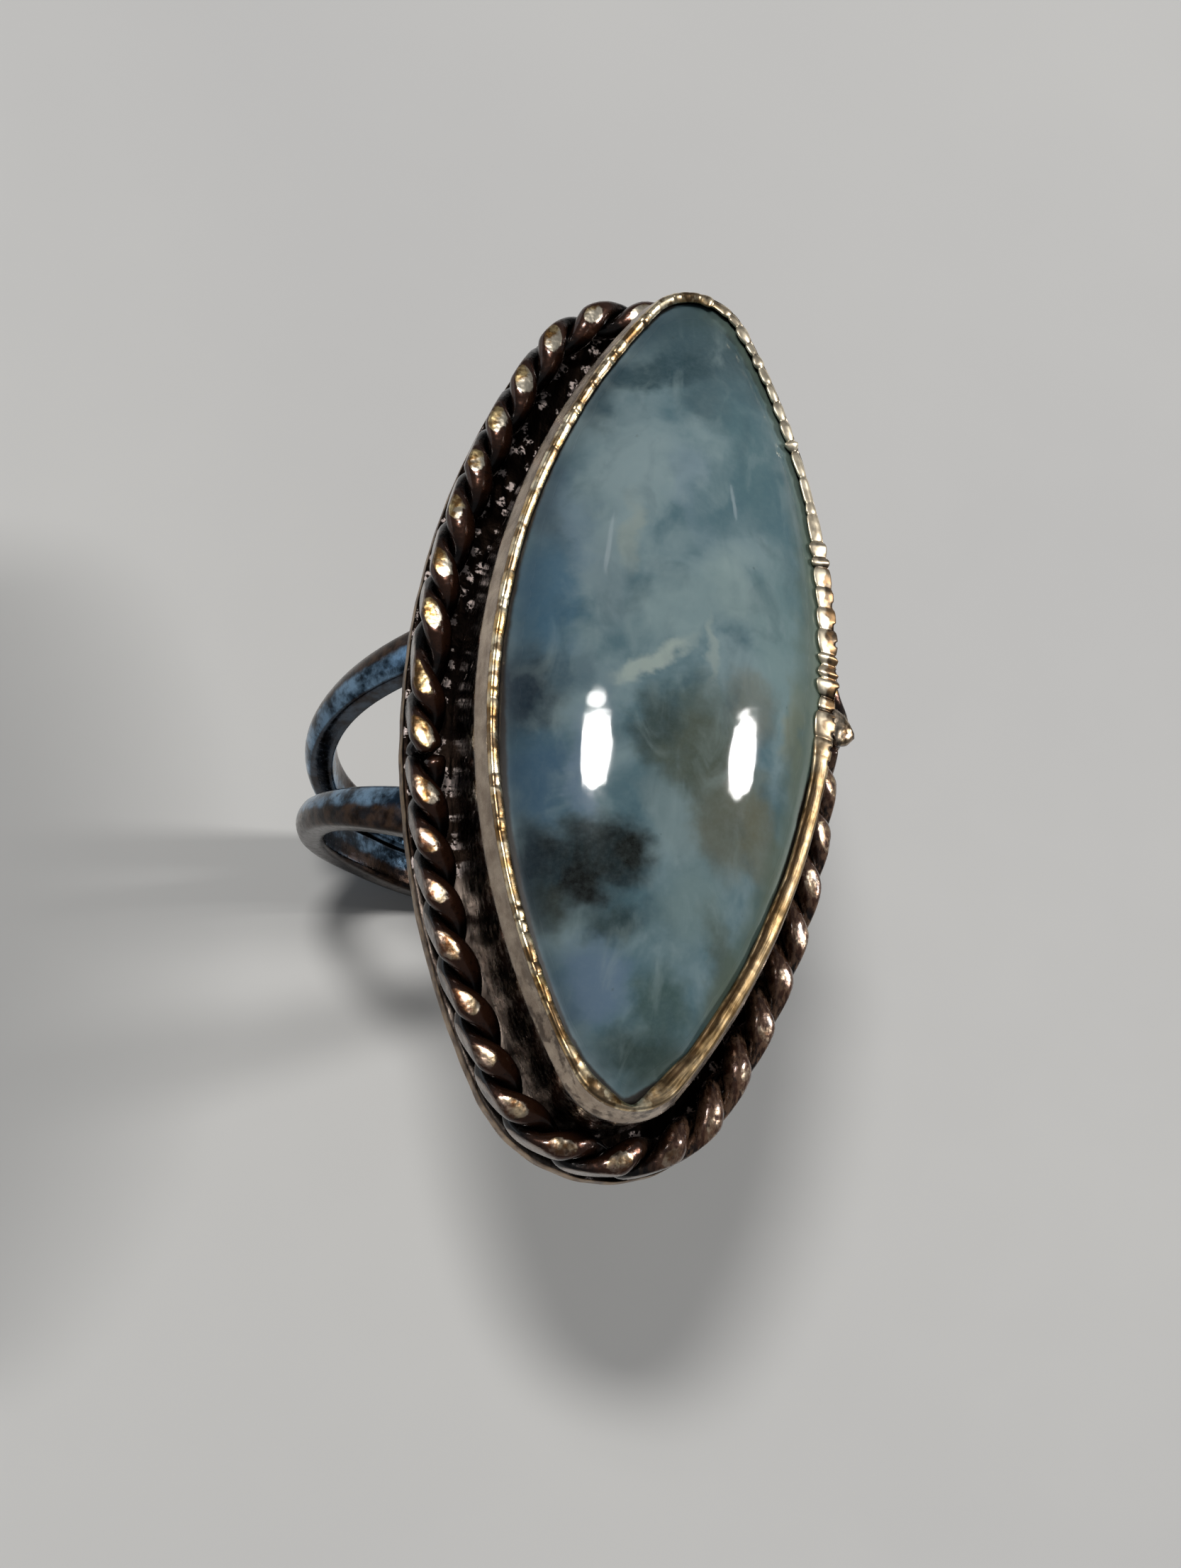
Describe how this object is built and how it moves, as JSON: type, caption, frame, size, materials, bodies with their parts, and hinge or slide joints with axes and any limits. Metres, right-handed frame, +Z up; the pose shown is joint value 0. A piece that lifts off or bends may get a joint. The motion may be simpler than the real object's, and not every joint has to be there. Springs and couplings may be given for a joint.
{
  "type": "cocktail ring",
  "caption": "Cocktail ring: a long pointed domed stone in a bezel, edged with twisted rope wire, on a finger shank that splits under the head.",
  "frame": {"origin": "centre of the finger hole", "axes": "+Z up through the stone, Y along the finger hole's axis and the head's long axis, X across the head"},
  "size_m": [0.0192, 0.0326, 0.0252],
  "materials": {
    "stone": "polished, cloudy grey-teal with darker and paler patches",
    "bezel": "polished gold-bronze strip, its rim burnished unevenly",
    "plate": "blackened, half gloss",
    "rope": "blackened in the valleys, rubbed bright on top",
    "shank": "polished silver-grey with darkened edges"
  },
  "bodies": {
    "root": {"cabochon": "stone", "bezel_wall": "bezel", "base_plate": "plate", "rope_back_strand_a": "rope", "rope_back_strand_b": "rope", "rope_front_strand_a": "rope", "rope_front_strand_b": "rope", "shank_rail_front": "shank", "shank_rail_back": "shank"}
  },
  "joints": []
}
